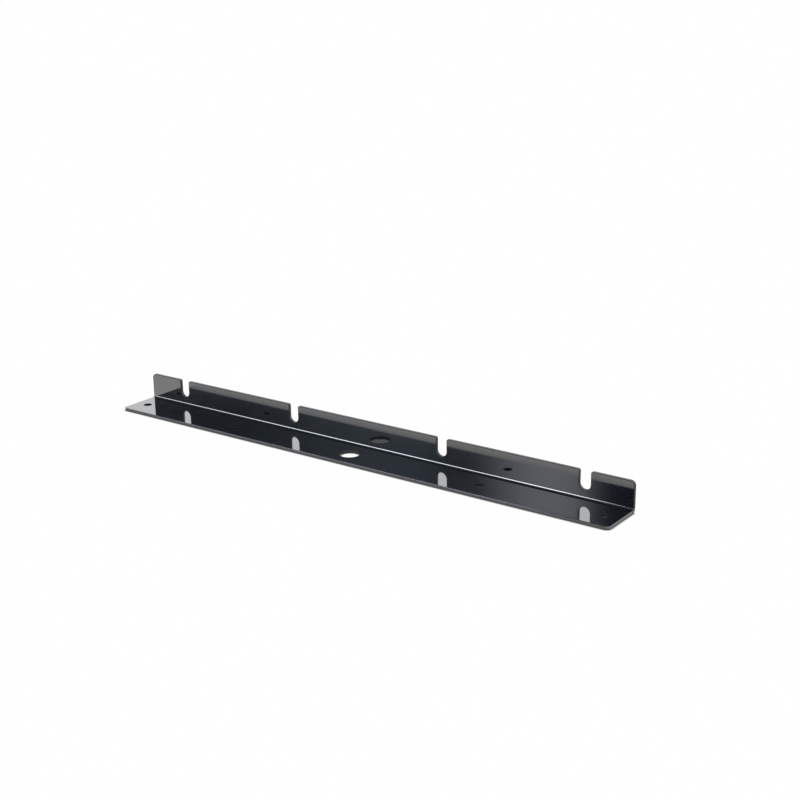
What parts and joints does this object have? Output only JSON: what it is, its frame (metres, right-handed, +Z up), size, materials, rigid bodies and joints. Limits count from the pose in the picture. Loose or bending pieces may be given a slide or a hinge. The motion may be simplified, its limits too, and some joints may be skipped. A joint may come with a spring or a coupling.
{
  "type": "rack mount ear bracket",
  "caption": "Long folded sheet-metal angle that screws to the side of a unit and carries open slots for the screws of a 19-inch rack.",
  "frame": {"origin": "under the middle of the ear, on the surface that its side flange lies on", "axes": "+X along the fold, +Y from the free edge of the side flange to the rack flange, +Z up along the rack flange"},
  "size_m": [0.3878, 0.0326, 0.0198],
  "materials": {
    "gloss_black_paint": "smooth high-gloss black paint on sheet steel"
  },
  "bodies": {
    "root": {"ear_bracket": "gloss_black_paint"}
  },
  "joints": []
}
